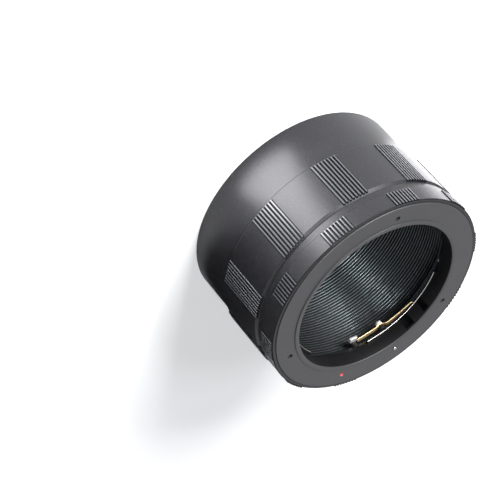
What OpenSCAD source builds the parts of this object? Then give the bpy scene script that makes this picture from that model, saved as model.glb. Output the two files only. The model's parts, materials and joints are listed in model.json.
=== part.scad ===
// Macro extension tube with its lens-side bayonet ring screwed on.
// Millimetres. +Z is the optical axis, pointing out of the lens mount.
// The origin is on the axis in the plane of the rear (camera-side) end, on which the tube stands.

/* [Tube] */
// Length of the tube from its rear end to the seat of the mount ring
tube_len = 31; // [24:0.5:60]
// Wall from the joining thread to the smooth lands of the grip band
grip_wall = 4.3; // [4:0.1:6]
// How far the smooth rear of the tube lies below the grip band
rear_step = 0.6; // [0.2:0.1:1]
// Length of the grip band of the tube
tube_grip_len = 15.6; // [8:0.1:20]
// Width of the bevel on the front edge of the tube's lands
tube_bevel = 0.8; // [0.2:0.1:1]
// Width of the bevel on the other edges of the bands
edge_bevel = 0.25; // [0.1:0.05:0.4]

/* [Joining thread] */
// How far the joining thread lies outside the throat
thread_step = 3.8; // [3.7:0.1:5]
// Depth of the female thread at the rear end
rear_thread_len = 4.5; // [3:0.1:6]
// Radial clearance between the male neck and the female thread
thread_clear = 0.05; // [0.03:0.01:0.1]
// Length of the male neck that the mount ring screws onto
neck_len = 3; // [2:0.1:3.1]
// Wall of the neck
neck_wall = 1.15; // [0.9:0.05:1.3]

/* [Light baffle] */
// Spacing of the grooves turned in the bore
baffle_pitch = 0.9; // [0.7:0.1:1.5]
// Depth of the grooves
baffle_depth = 0.4; // [0.2:0.05:0.6]
// Width of the flat crest between two grooves
baffle_crest = 0.15; // [0.1:0.05:0.3]

/* [Grip ribs] */
// Number of ribbed pads round each band
pad_count = 10; // [6:1:12]
// Ribs in each pad
rib_count = 8; // [5:1:9]
// Spacing of the ribs round the band, in degrees
rib_pitch = 1.74; // [1.5:0.01:2]
// Height of the ribs above the smooth lands
rib_rise = 0.3; // [0.1:0.05:0.5]
// Depth of the milled ground between the ribs below the smooth lands
rib_sink = 0.2; // [0.1:0.05:0.3]
// Angle of the first pad of the tube
tube_pad_angle = 30.7; // [0:0.1:36]
// Angle of the first pad of the mount ring
ring_pad_angle = 11.4; // [0:0.1:36]

/* [Mount ring] */
// Distance from the seat of the ring on the tube to the lens face
ring_len = 7.8; // [7.8:0.1:12]
// Length of the smooth rear band of the ring
ring_skin_len = 2.5; // [2:0.1:2.8]
// How far the smooth rear band lies below the grip band
ring_step = 0.4; // [0.2:0.1:0.6]
// Width of the rim round the face plate
rim_w = 1.0; // [0.8:0.1:1.4]
// How far the rim lies behind the lens face
rim_drop = 0.25; // [0.1:0.05:0.4]
// Free space between the end of the neck and the web of the ring
neck_gap = 0.2; // [0.1:0.05:0.4]

/* [Bayonet flange] */
// Radius of the throat, from which all other radii follow
throat_r = 24.4; // [20:0.1:30]
// How far the throat is relieved between the bayonet lugs
throat_relief = 0.3; // [0.28:0.01:0.4]
// Thickness of the face plate
plate_t = 1.5; // [1.3:0.1:1.6]
// Clearance round the face plate and the sleeve
seat_clear = 0.1; // [0.03:0.01:0.15]
// Wall of the sleeve that forms the throat
sleeve_wall = 2.0; // [1.9:0.05:2.1]
// Depth of the sleeve behind the lens face
sleeve_len = 4.8; // [4.6:0.1:4.8]
// Width of the raised lip round the throat
lip_w = 1.3; // [0.8:0.1:1.6]
// Height of the raised lip
lip_h = 0.25; // [0.1:0.05:0.4]
// Reach of the bayonet lugs into the throat
lug_reach = 1.0; // [0.6:0.1:1.2]
// Thickness of the bayonet lugs
lug_t = 0.8; // [0.6:0.1:0.9]
// Angle that each lug covers
lug_span = 60; // [40:1:70]
// Angle of the middle of the first lug
lug_angle = 98; // [90:1:100]
// Angle of the first of the two pockets cut in the wall of the throat
pocket_angle = 95; // [90:0.5:100]
// Angle between the two pockets
pocket_spread = 14.7; // [10:0.1:20]
// Thickness of the face over the pockets
pocket_roof = 0.8; // [0.6:0.1:1.2]
// Width of the two pockets
pocket_w = 2.1; // [1.5:0.1:2.5]
// Depth of the pockets into the wall
pocket_depth = 1.5; // [1:0.1:1.6]

/* [Face marks and screws] */
// Distance from the throat to the circle of the face screws and the index dot
screw_circle_out = 3.45; // [3.3:0.05:3.6]
// Angle of the lone face screw
screw_angle = 231.8; // [228:0.1:236]
// Angle from the lone screw to each of the other two
screw_spread = 114.5; // [112:0.5:118]
// Radius of the face screws
face_screw_r = 0.7; // [0.5:0.05:0.8]
// Length of the face screws
face_screw_len = 2.8; // [2:0.1:3]
// How deep the face screws are sunk below the face
face_screw_sink = 0.4; // [0.2:0.05:0.6]
// Angle of the red index dot
index_angle = 41.4; // [36:0.1:46]
// Radius of the index dot
index_r = 0.75; // [0.5:0.05:1]
// Depth of the dimple that holds the index dot
index_depth = 0.45; // [0.3:0.05:0.6]

/* [Keeper ring and springs] */
// Wall of the keeper ring
keeper_wall = 1.8; // [1.6:0.1:1.9]
// Thickness of the floor of the keeper ring
keeper_floor_t = 0.6; // [0.4:0.05:0.8]
// Reach of the floor of the keeper ring inwards from its wall
keeper_reach = 2.0; // [1.9:0.1:2.2]
// Radius of the keeper screws
keeper_screw_r = 0.55; // [0.4:0.05:0.6]
// Radius of the heads of the keeper screws
keeper_head_r = 0.8; // [0.7:0.05:0.85]
// Height of the heads of the keeper screws
keeper_head_h = 0.5; // [0.3:0.05:0.6]
// Thickness of the leaf springs
leaf_t = 0.25; // [0.15:0.05:0.3]
// Width of the leaf springs
leaf_w = 1.5; // [1.2:0.1:1.6]
// Angle of the screw of the first leaf spring
leaf_angle = 78; // [76:0.5:80]
// Angle covered by the long arm of a leaf spring
leaf_long = 25; // [18:1:28]
// Angle covered by the short arm of a leaf spring
leaf_short = 13; // [8:1:14]
// Radius of the heads of the spring screws
spring_head_r = 0.7; // [0.6:0.05:0.75]
// Height of the heads of the spring screws and of the stop screw
head_h = 0.7; // [0.4:0.05:0.8]
// Radius of the shanks of the spring screws and of the stop screw
shank_r = 0.4; // [0.3:0.05:0.5]
// Play between the wall of the keeper ring and what stands on its floor
keeper_play = 0.1; // [0.05:0.05:0.2]
// Angle of the stop screw
stop_angle = 60.5; // [58:0.5:62]
// Radius of the head of the stop screw
stop_head_r = 0.95; // [0.8:0.05:1]

/* [Lens lock] */
// Angle of the lock pin and its slider
lock_angle = 78.3; // [76:0.1:80]
// Distance from the throat to the lock pin
pin_out = 3.1; // [3:0.05:3.3]
// Radius of the lock pin
pin_r = 0.65; // [0.5:0.05:0.7]
// Clearance of the lock pin in the face plate
pin_clear = 0.08; // [0.05:0.01:0.1]
// How far the lock pin stands proud of the face
pin_proud = 0.35; // [0.2:0.05:1]
// Travel of the lock pin and its slider
lock_travel = 1.2; // [0.8:0.1:1.2]
// Thickness of the pin carrier along the axis
carrier_t = 1.6; // [1.4:0.1:1.7]
// Width of the pin carrier
carrier_w = 3; // [2.6:0.1:3.4]
// Clearance round the pin carrier and the stem of the slider
slide_clear = 0.1; // [0.08:0.01:0.2]
// How deep the flat bed of the slider lies below the lands
bed_sink = 0.8; // [0.6:0.05:0.9]
// Height of the rim that stays whole above the bed
bed_rim = 0.75; // [0.6:0.05:1]
// Width of the flat bed
bed_w = 9.4; // [9:0.1:11]
// Width of the slider button
button_w = 8.4; // [7:0.1:8.8]
// Height of the slider button along the axis
button_h = 3.0; // [2.6:0.1:3]
// Thickness of the slider button
button_t = 1.5; // [1.4:0.1:1.8]
// Radius of the slider screw
slider_screw_r = 0.6; // [0.4:0.05:0.65]
// Radius of the head of the slider screw
slider_head_r = 1.1; // [0.9:0.05:1.2]
// Radius of the coil of the lock spring
coil_r = 0.75; // [0.6:0.05:0.8]
// Radius of the wire of the lock spring
wire_r = 0.14; // [0.1:0.01:0.16]
// Number of turns of the lock spring
coil_turns = 6; // [4:1:7]
// Thickness of the floor under the lock spring
spring_floor_t = 0.8; // [0.6:0.1:1]

/* [Hidden] */
$fn = 120;
small_fn = 32;
// Overlap that carries a cut past the surface it starts from
past = 1;
// Levels along the axis
seat_z = tube_len;
face_z = seat_z + ring_len;
rim_z = face_z - rim_drop;
plate_z = face_z - plate_t;
web_z = seat_z + neck_len + neck_gap;
sleeve_z = face_z - sleeve_len;
keeper_z = seat_z;
floor_z = keeper_z + keeper_floor_t;
band_z = tube_len - tube_grip_len;
ring_band_z = seat_z + ring_skin_len;
// Radii
thread_r = throat_r + thread_step;
grip_r = thread_r + grip_wall;
bed_r = grip_r - bed_sink;
screw_circle_r = throat_r + screw_circle_out;
pin_circle_r = throat_r + pin_out;
rear_r = grip_r - rear_step;
ring_skin_r = grip_r - ring_step;
neck_r = thread_r - thread_clear;
bore_r = neck_r - neck_wall;
plate_seat_r = grip_r - rim_w;
plate_r = plate_seat_r - seat_clear;
sleeve_r = throat_r + sleeve_wall;
web_bore_r = sleeve_r + seat_clear / 2;
lip_r = throat_r + lip_w;
lug_r = throat_r - lug_reach;
keeper_r = sleeve_r + 2 * keeper_play;
keeper_in_r = keeper_r - keeper_wall;
floor_r = keeper_in_r - keeper_reach;
leaf_mid_r = keeper_in_r - leaf_w / 2 - keeper_play;
stop_circle_r = keeper_in_r - stop_head_r - keeper_play;
// Grip ribs
rib_top_w = 0.42;
rib_foot_w = 0.62;
rib_root = 0.7;
// Distances of the milled ground and of the ribs from the rear edge of a band
ground_margin = 0.35;
rib_margin = 0.2;
ribs_end_gap = 0.25;
// Lens lock
carrier_z = plate_z - carrier_t - 0.3;
lock_pocket_z = carrier_z - lock_travel - slide_clear;
carrier_out_r = bed_r - 0.4;
carrier_in_r = pin_circle_r - pin_r - 0.1;
slider_axis_z = carrier_z + carrier_t / 2;
button_z = slider_axis_z - button_h / 2;
spring_seat_r = (thread_r + bed_r) / 2 + 0.2;
spring_z = seat_z + spring_floor_t;
index_paint_t = 0.2;
slot_w = 0.3;

// Place on a circle round the axis
module at(r, angle, z) {
    rotate([0, 0, angle])
        translate([r, 0, z])
            children();
}

// Solid of revolution from points of radius and height
module turned(points) {
    rotate_extrude($fn = 180)
        polygon(points);
}

// Wedge that keeps the angles from one to the other of a ring
module sector(from, to, r, z, h) {
    steps = ceil((to - from) / 20);
    translate([0, 0, z])
        linear_extrude(h)
            polygon(concat([[0, 0]],
                [for (i = [0 : steps])
                    let (a = from + (to - from) * i / steps)
                    r * [cos(a), sin(a)]]));
}

// Ground milled away under one ribbed pad
module pad_ground(angle, z, h) {
    half = rib_pitch * rib_count / 2;
    root = grip_r - rib_sink;
    out = grip_r + past;
    translate([0, 0, z])
        linear_extrude(h)
            polygon([
                for (s = [-1, -0.5, 0, 0.5, 1]) root * [cos(angle + s * half), sin(angle + s * half)],
                for (s = [1, 0, -1]) out * [cos(angle + s * half), sin(angle + s * half)]
            ]);
}

// Straight ribs of one pad
module pad_ribs(angle, z, h) {
    foot = grip_r - rib_root;
    top = grip_r + rib_rise;
    for (i = [0 : rib_count - 1])
        rotate([0, 0, angle + (i - (rib_count - 1) / 2) * rib_pitch])
            translate([0, 0, z])
                linear_extrude(h)
                    polygon([
                        [foot, -rib_foot_w / 2], [top, -rib_top_w / 2],
                        [top, rib_top_w / 2], [foot, rib_foot_w / 2]
                    ]);
}

function pad_angles(first) = [for (i = [0 : pad_count - 1]) first + i * 360 / pad_count];

// Pads of the mount ring, without any that the flat bed of the slider would cut
function ring_pads() =
    let (reach = asin(bed_w / 2 / bed_r) + rib_pitch * (rib_count + 1) / 2)
    [for (a = pad_angles(ring_pad_angle))
        let (away = abs((a - lock_angle + 540) % 360 - 180))
        if (away > reach) a];

// Slotted screw with a cheese head, standing on its head's seat and pointing down
module cheese_screw(head_r, head_height, shank, len) {
    difference() {
        union() {
            cylinder(r = head_r, h = head_height, $fn = small_fn);
            translate([0, 0, -len])
                cylinder(r = shank, h = len, $fn = small_fn);
        }
        translate([-head_r - past, -slot_w / 2, head_height - slot_w])
            cube([2 * (head_r + past), slot_w, past]);
    }
}

// Points of the grooved wall, from the top down
function baffle_points(top, bottom) =
    let (n = floor((top - bottom) / baffle_pitch))
    [for (i = [0 : n - 1])
        let (z = top - i * baffle_pitch)
        each [
            [bore_r, z],
            [bore_r, z - baffle_crest],
            [bore_r + baffle_depth, z - (baffle_crest + baffle_pitch) / 2]
        ]];

module extension_tube() {
    color([0.16, 0.16, 0.17]) {
        difference() {
            rotate([0, 0, tube_pad_angle + 180 / pad_count])
                turned(concat(
                [
                    [thread_r, 0],
                    [rear_r - edge_bevel, 0],
                    [rear_r, edge_bevel],
                    [rear_r, band_z - (grip_r - rear_r)],
                    [grip_r, band_z],
                    [grip_r, seat_z - tube_bevel],
                    [grip_r - tube_bevel, seat_z],
                    [neck_r, seat_z],
                    [neck_r, seat_z + neck_len - edge_bevel],
                    [neck_r - edge_bevel, seat_z + neck_len]
                ],
                [[bore_r, seat_z + neck_len]],
                baffle_points(seat_z, rear_thread_len + baffle_pitch),
                [
                    [bore_r, rear_thread_len],
                    [thread_r, rear_thread_len]
                ]));
            for (a = pad_angles(tube_pad_angle))
                pad_ground(a, band_z + ground_margin, tube_grip_len + past);
        }
        for (a = pad_angles(tube_pad_angle))
            pad_ribs(a, band_z + rib_margin, tube_grip_len - rib_margin - ribs_end_gap);
    }
}

// Space for the pin carrier and the stem of the slider
module lock_space() {
    w = carrier_w + 2 * slide_clear;
    rotate([0, 0, lock_angle])
        translate([web_bore_r - past, -w / 2, lock_pocket_z])
            cube([bed_r - web_bore_r + 2 * past, w, plate_z - lock_pocket_z + past / 4]);
}

module mount_ring() {
    grip_top = rim_z;
    color([0.17, 0.17, 0.18]) {
        difference() {
            rotate([0, 0, ring_pad_angle + 180 / pad_count])
                turned([
                [thread_r, seat_z],
                [ring_skin_r - edge_bevel, seat_z],
                [ring_skin_r, seat_z + edge_bevel],
                [ring_skin_r, ring_band_z - (grip_r - ring_skin_r)],
                [grip_r, ring_band_z],
                [grip_r, grip_top - edge_bevel],
                [grip_r - edge_bevel, grip_top],
                [plate_seat_r, grip_top],
                [plate_seat_r, plate_z],
                [web_bore_r, plate_z],
                [web_bore_r, web_z],
                [thread_r, web_z]
            ]);
            for (a = ring_pads())
                pad_ground(a, ring_band_z + ground_margin, grip_top - ring_band_z);
            rotate([0, 0, lock_angle])
                translate([bed_r, -bed_w / 2, ring_band_z - ring_step - past / 2])
                    cube([grip_r, bed_w, rim_z - bed_rim - (ring_band_z - ring_step - past / 2)]);
            lock_space();
            at(spring_seat_r, lock_angle, spring_z)
                cylinder(r = coil_r + wire_r + slide_clear, h = ring_len / 2, $fn = small_fn);
            for (i = [-1 : 1])
                at(screw_circle_r, screw_angle + i * screw_spread,
                    face_z - face_screw_sink - face_screw_len)
                    cylinder(r = face_screw_r, h = ring_len, $fn = small_fn);
        }
        for (a = ring_pads())
            pad_ribs(a, ring_band_z + rib_margin, grip_top - ring_band_z - rib_margin - ribs_end_gap / 2);
    }
}

module bayonet_flange() {
    pocket_z = sleeve_z + lug_t;
    color([0.36, 0.36, 0.37])
        difference() {
            union() {
                turned([
                    [throat_r + throat_relief, sleeve_z],
                    [sleeve_r, sleeve_z],
                    [sleeve_r, plate_z],
                    [plate_r, plate_z],
                    [plate_r, face_z - edge_bevel / 2],
                    [plate_r - edge_bevel / 2, face_z],
                    [lip_r, face_z],
                    [lip_r, face_z + lip_h],
                    [throat_r + edge_bevel, face_z + lip_h],
                    [throat_r, face_z + lip_h - edge_bevel],
                    [throat_r, pocket_z],
                    [throat_r + throat_relief, pocket_z]
                ]);
                intersection() {
                    turned([
                        [lug_r, sleeve_z],
                        [throat_r + sleeve_wall / 2, sleeve_z],
                        [throat_r + sleeve_wall / 2, sleeve_z + lug_t],
                        [lug_r + edge_bevel / 2, sleeve_z + lug_t],
                        [lug_r, sleeve_z + lug_t - edge_bevel / 2]
                    ]);
                    for (i = [0 : 2])
                        sector(lug_angle + 120 * i - lug_span / 2, lug_angle + 120 * i + lug_span / 2,
                            2 * throat_r, sleeve_z - past, lug_t + 2 * past);
                }
            }
            for (a = [pocket_angle, pocket_angle + pocket_spread])
                rotate([0, 0, a])
                    translate([throat_r - past, -pocket_w / 2, pocket_z])
                        cube([pocket_depth + past, pocket_w, face_z - pocket_roof - pocket_z]);
            for (i = [-1 : 1])
                at(screw_circle_r, screw_angle + i * screw_spread, plate_z - past)
                    cylinder(r = face_screw_r + 0.05, h = plate_t + 2 * past, $fn = small_fn);
            at(screw_circle_r, index_angle, face_z - index_depth)
                cylinder(r = index_r, h = past, $fn = small_fn);
            at(pin_circle_r, lock_angle, plate_z - past)
                cylinder(r = pin_r + pin_clear, h = plate_t + 2 * past, $fn = small_fn);
            for (i = [0 : 2])
                at(keeper_screw_circle(), keeper_screw_angle(i), sleeve_z - past)
                    cylinder(r = keeper_screw_r, h = keeper_screw_grip() + past, $fn = small_fn);
        }
}

// Headless slotted screw that holds the face plate
module face_screw(angle) {
    top = face_z - face_screw_sink;
    color([0.08, 0.08, 0.08])
        at(screw_circle_r, angle, top - face_screw_len)
            difference() {
                cylinder(r = face_screw_r, h = face_screw_len, $fn = small_fn);
                translate([-past, -slot_w / 2, face_screw_len - slot_w])
                    cube([2 * past, slot_w, past]);
            }
}

module index_dot() {
    color([0.7, 0.1, 0.12])
        at(screw_circle_r, index_angle, face_z - index_depth)
            cylinder(r = index_r, h = index_paint_t, $fn = small_fn);
}

function keeper_screw_circle() = (keeper_in_r + sleeve_r) / 2;
function keeper_screw_angle(i) = leaf_angle + 60 + 120 * i;
function keeper_screw_grip() = 1.8;

module keeper_ring() {
    color([0.1, 0.1, 0.1])
        difference() {
            turned([
                [floor_r, keeper_z],
                [keeper_r, keeper_z],
                [keeper_r, sleeve_z],
                [keeper_in_r, sleeve_z],
                [keeper_in_r, floor_z],
                [floor_r, floor_z]
            ]);
            for (i = [0 : 2])
                at(keeper_screw_circle(), keeper_screw_angle(i), keeper_z - past) {
                    cylinder(r = keeper_screw_r + 0.05, h = sleeve_z - keeper_z + 2 * past, $fn = small_fn);
                    cylinder(r = keeper_head_r, h = past + keeper_head_h, $fn = small_fn);
                }
            for (i = [0 : 2])
                at(leaf_mid_r, leaf_angle + 120 * i, keeper_z - past)
                    cylinder(r = shank_r, h = keeper_floor_t + 2 * past, $fn = small_fn);
            at(stop_circle_r, stop_angle, keeper_z - past)
                cylinder(r = shank_r, h = keeper_floor_t + 2 * past, $fn = small_fn);
        }
}

module keeper_screw(i) {
    color([0.75, 0.75, 0.76])
        at(keeper_screw_circle(), keeper_screw_angle(i), keeper_z + keeper_head_h)
            mirror([0, 0, 1])
                cheese_screw(keeper_head_r, keeper_head_h, keeper_screw_r,
                    sleeve_z - keeper_z - keeper_head_h + keeper_screw_grip());
}

// Height of the underside of a leaf above the keeper floor at an angle from its screw
function leaf_lift(a) =
    let (flat = 2.2, room = sleeve_z - floor_z - leaf_t)
    abs(a) < flat ? 0
        : a > 0 ? room * (1 - pow(1 - (a - flat) / (leaf_long - flat), 1.6))
        : 0.55 * room * (-a - flat) / (leaf_short - flat);

module leaf_spring(i) {
    stations = 18;
    in_r = leaf_mid_r - leaf_w / 2;
    out_r = leaf_mid_r + leaf_w / 2;
    angles = [for (k = [0 : stations]) -leaf_short + (leaf_long + leaf_short) * k / stations];
    points = [for (a = angles)
        let (z = floor_z + leaf_lift(a), c = cos(a), s = sin(a))
        each [
            [in_r * c, in_r * s, z], [out_r * c, out_r * s, z],
            [out_r * c, out_r * s, z + leaf_t], [in_r * c, in_r * s, z + leaf_t]
        ]];
    sides = [for (k = [0 : stations - 1], j = [0 : 3])
        [4 * k + j, 4 * k + (j + 1) % 4, 4 * k + 4 + (j + 1) % 4, 4 * k + 4 + j]];
    ends = [[3, 2, 1, 0], [for (j = [0 : 3]) 4 * stations + j]];
    color([0.85, 0.65, 0.3])
        rotate([0, 0, leaf_angle + 120 * i])
            difference() {
                polyhedron(points, concat(sides, ends), convexity = 4);
                translate([leaf_mid_r, 0, floor_z - past])
                    cylinder(r = shank_r, h = leaf_t + 2 * past, $fn = small_fn);
            }
}

module spring_screw(i) {
    color([0.85, 0.85, 0.86])
        at(leaf_mid_r, leaf_angle + 120 * i, floor_z + leaf_t)
            cheese_screw(spring_head_r, head_h, shank_r, leaf_t + keeper_floor_t);
}

module stop_screw() {
    color([0.85, 0.85, 0.86])
        at(stop_circle_r, stop_angle, floor_z)
            cheese_screw(stop_head_r, head_h, shank_r, keeper_floor_t);
}

module lock_pin() {
    top = face_z + pin_proud;
    color([0.8, 0.8, 0.8])
        at(pin_circle_r, lock_angle, carrier_z)
            rotate_extrude($fn = small_fn)
                polygon([
                    [0, 0], [pin_r, 0], [pin_r, top - carrier_z - 0.2],
                    [pin_r - 0.2, top - carrier_z], [0, top - carrier_z]
                ]);
}

module pin_carrier() {
    color([0.7, 0.6, 0.35])
        rotate([0, 0, lock_angle])
            difference() {
                translate([carrier_in_r, -carrier_w / 2, carrier_z])
                    cube([carrier_out_r - carrier_in_r, carrier_w, carrier_t]);
                translate([pin_circle_r, 0, carrier_z - past])
                    cylinder(r = pin_r, h = carrier_t + 2 * past, $fn = small_fn);
                translate([carrier_out_r + past, 0, slider_axis_z])
                    rotate([0, -90, 0])
                        cylinder(r = slider_screw_r, h = slider_screw_bite() + past, $fn = small_fn);
            }
}

function slider_screw_bite() = 2.2;

module release_slider() {
    ridge_count = 3;
    ridge_gap = button_h / (ridge_count + 0.5);
    foot = bed_r + slide_clear / 2;
    color([0.12, 0.12, 0.13])
        rotate([0, 0, lock_angle])
            difference() {
                union() {
                    translate([foot, -button_w / 2, button_z])
                        cube([button_t, button_w, button_h]);
                    translate([carrier_out_r, -carrier_w / 2, carrier_z])
                        cube([foot - carrier_out_r + past / 2, carrier_w, carrier_t]);
                }
                for (i = [1 : ridge_count])
                    translate([foot + button_t, 0, button_z + i * ridge_gap - ridge_gap / 4])
                        rotate([0, 45, 0])
                            cube([0.5, button_w + past, 0.5], center = true);
                for (s = [-1, 1])
                    translate([foot + button_t, s * button_w / 2, slider_axis_z])
                        rotate([0, 0, 45])
                            cube([0.8, 0.8, button_h + past], center = true);
                translate([foot + button_t - 0.9, 0, slider_axis_z])
                    rotate([0, 90, 0])
                        cylinder(r = slider_head_r, h = past + button_t, $fn = small_fn);
                translate([carrier_out_r - past, 0, slider_axis_z])
                    rotate([0, 90, 0])
                        cylinder(r = slider_screw_r + 0.05, h = button_t + 2 * past, $fn = small_fn);
            }
}

module slider_screw() {
    seat = bed_r + slide_clear / 2 + button_t - 0.9;
    color([0.75, 0.75, 0.76])
        rotate([0, 0, lock_angle])
            translate([seat, 0, slider_axis_z])
                rotate([0, 90, 0])
                    cheese_screw(slider_head_r - 0.05, 0.6, slider_screw_r,
                        seat - carrier_out_r + slider_screw_bite() - 0.1);
}

// Round wire wound in a helix between its two seats
module lock_spring() {
    sides = 6;
    per_turn = 14;
    rings = coil_turns * per_turn;
    low = spring_z + wire_r;
    rise = carrier_z - wire_r - low;
    points = [for (k = [0 : rings])
        let (a = 360 * k / per_turn, z = low + rise * k / rings)
        for (j = [0 : sides - 1])
            let (b = 360 * j / sides, r = coil_r + wire_r * cos(b))
            [r * cos(a), r * sin(a), z + wire_r * sin(b)]];
    skin = [for (k = [0 : rings - 1], j = [0 : sides - 1])
        [sides * k + j, sides * k + (j + 1) % sides,
            sides * (k + 1) + (j + 1) % sides, sides * (k + 1) + j]];
    ends = [[for (j = [sides - 1 : -1 : 0]) j], [for (j = [0 : sides - 1]) sides * rings + j]];
    color([0.8, 0.8, 0.82])
        at(spring_seat_r, lock_angle, 0)
            polyhedron(points, concat(skin, ends), convexity = 10);
}

extension_tube();
mount_ring();
bayonet_flange();
face_screw(screw_angle);  // face_screw_1
face_screw(screw_angle + screw_spread);  // face_screw_2
face_screw(screw_angle - screw_spread);  // face_screw_3
index_dot();
keeper_ring();
keeper_screw(0);  // keeper_screw_1
keeper_screw(1);  // keeper_screw_2
keeper_screw(2);  // keeper_screw_3
leaf_spring(0);  // leaf_spring_1
leaf_spring(1);  // leaf_spring_2
leaf_spring(2);  // leaf_spring_3
spring_screw(0);  // spring_screw_1
spring_screw(1);  // spring_screw_2
spring_screw(2);  // spring_screw_3
stop_screw();
lock_pin();
pin_carrier();
release_slider();
slider_screw();
lock_spring();
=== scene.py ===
# %% [markdown]
# # A macro extension tube, dressed in Blender
#
# A macro extension tube is a hollow spacer that sits between a camera and its lens. It holds no
# glass: it only moves the lens away from the film or sensor, so that the lens focuses very near.
# The one built here is a long knurled tube with a bayonet ring screwed onto its front. The CAD
# model already has every piece at its real size. This script gives each piece its true surface.

import json
import math

import bpy
from mathutils import Matrix, Vector


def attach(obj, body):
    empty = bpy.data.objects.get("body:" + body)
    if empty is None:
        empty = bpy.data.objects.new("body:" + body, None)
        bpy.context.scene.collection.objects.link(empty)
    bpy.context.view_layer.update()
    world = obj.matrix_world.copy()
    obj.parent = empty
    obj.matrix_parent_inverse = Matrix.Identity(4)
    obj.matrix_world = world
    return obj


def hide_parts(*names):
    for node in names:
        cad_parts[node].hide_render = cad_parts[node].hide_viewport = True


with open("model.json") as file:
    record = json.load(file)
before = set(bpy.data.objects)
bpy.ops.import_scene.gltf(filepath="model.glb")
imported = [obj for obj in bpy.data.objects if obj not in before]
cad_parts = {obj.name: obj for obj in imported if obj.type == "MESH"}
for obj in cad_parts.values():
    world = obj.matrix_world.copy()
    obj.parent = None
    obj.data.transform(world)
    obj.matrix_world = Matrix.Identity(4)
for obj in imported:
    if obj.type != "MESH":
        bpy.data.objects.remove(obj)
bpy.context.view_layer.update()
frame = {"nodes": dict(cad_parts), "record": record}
nodes = frame["nodes"]
print("nodes in the frame:", len(nodes))

# %% [markdown]
# ## The sizes that the pieces share
#
# The frame is the CAD model's: the tube stands on its rear end, and +Z runs along the optical
# axis and out of the lens mount. Blender works in metres, but a maker's drawing of such a part is
# in millimetres. So sections and corners are written in millimetres, and the helpers multiply
# them by MM. The sizes at which several pieces meet are named once, here.

# %% Shared sizes
MM = 0.001
TURN = 2 * math.pi

SEAT_Z = 31.0  # shoulder of the tube, on which the mount ring sits
LUG_Z = 34.0  # underside of the lugs
LUG_TOP_Z = 34.8  # and their top
FACE_Z = 38.8  # seating face of the lens
GRIP_R = 32.5  # knurled bands
BORE_R = 27.0  # crests of the grooves in the bore
THROAT_R = 24.4  # opening in the face plate
LOCK_ANGLE = 78.3  # place of the lens lock, in degrees about the axis
print("height of the face:", FACE_Z, "mm, width over the grip:", 2 * GRIP_R, "mm")

# %% [markdown]
# ## The camera
#
# The photograph was taken with a long lens: the ellipses of the front and rear rims are nearly
# the same shape, so the camera stands far off. Its place was worked out from those ellipses. The
# line of sight meets the optical axis at 59 degrees, and the camera is rolled, so that the axis
# points to the lower right of the picture although the tube stands upright here. A camera could
# be placed by eye, but then no size could be read back from the photograph.

# %% Camera
PICTURE = 500
FOCAL_PX = 1936.4
SENSOR_MM = 36
SIGHT_ANGLE = math.radians(59.25)
DISTANCE = 510.3 * MM
ROLL = math.radians(221.68)
FACE_PIXEL = (376.5, 297.1)
CAMERA_AZIMUTH = math.radians(-90)


def place_camera():
    """Stands the camera where the photograph was taken from."""
    axis = Vector((0, 0, 1))
    outward = Vector((math.cos(CAMERA_AZIMUTH), math.sin(CAMERA_AZIMUTH), 0))
    away = math.sin(SIGHT_ANGLE) * outward + math.cos(SIGHT_ANGLE) * axis
    forward = -away
    right = forward.cross(axis).normalized()
    up = right.cross(forward)
    level = Matrix((right, up, forward))
    roll = Matrix.Rotation(ROLL, 3, "Z")
    across, down = ((pixel - PICTURE / 2) / FOCAL_PX for pixel in FACE_PIXEL)
    aim = axis.rotation_difference(Vector((across, -down, 1)).normalized()).to_matrix()
    rows = aim @ roll @ level
    turned = Matrix((rows[0], rows[1], -rows[2])).transposed().to_4x4()
    data = bpy.data.cameras.new("camera")
    data.sensor_width = SENSOR_MM
    data.lens = FOCAL_PX / PICTURE * data.sensor_width
    camera = bpy.data.objects.new("camera", data)
    bpy.context.scene.collection.objects.link(camera)
    face = Vector((0, 0, FACE_Z * MM))
    camera.matrix_world = Matrix.Translation(face + DISTANCE * away) @ turned
    bpy.context.scene.camera = camera
    return camera


camera = place_camera()
print("camera lens:", round(camera.data.lens, 1), "mm")

# %% [markdown]
# ## Helpers for materials
#
# A procedural material is a network of nodes. Placed one by one they make long and unreadable
# code, so one small class wraps the output of a node. Arithmetic on it adds Math nodes, and a
# mask reads as the formula that it is. A second class holds the material and adds other nodes.

# %% Shader helpers
class Wire:
    """One output of a shader node. Arithmetic on it adds Math nodes."""

    def __init__(self, tree, socket):
        self.tree = tree
        self.socket = socket

    def math(self, operation, *others, clamp=False):
        node = self.tree.nodes.new("ShaderNodeMath")
        node.operation = operation
        node.use_clamp = clamp
        for i, value in enumerate((self, *others)):
            if isinstance(value, Wire):
                self.tree.links.new(value.socket, node.inputs[i])
            else:
                node.inputs[i].default_value = value
        return Wire(self.tree, node.outputs[0])

    def __add__(self, other):
        return self.math("ADD", other)

    __radd__ = __add__

    def __mul__(self, other):
        return self.math("MULTIPLY", other)

    __rmul__ = __mul__

    def __sub__(self, other):
        return self.math("SUBTRACT", other)

    def __rsub__(self, other):
        return (self * -1) + other

    def clamped(self):
        return self.math("ADD", 0, clamp=True)


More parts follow.
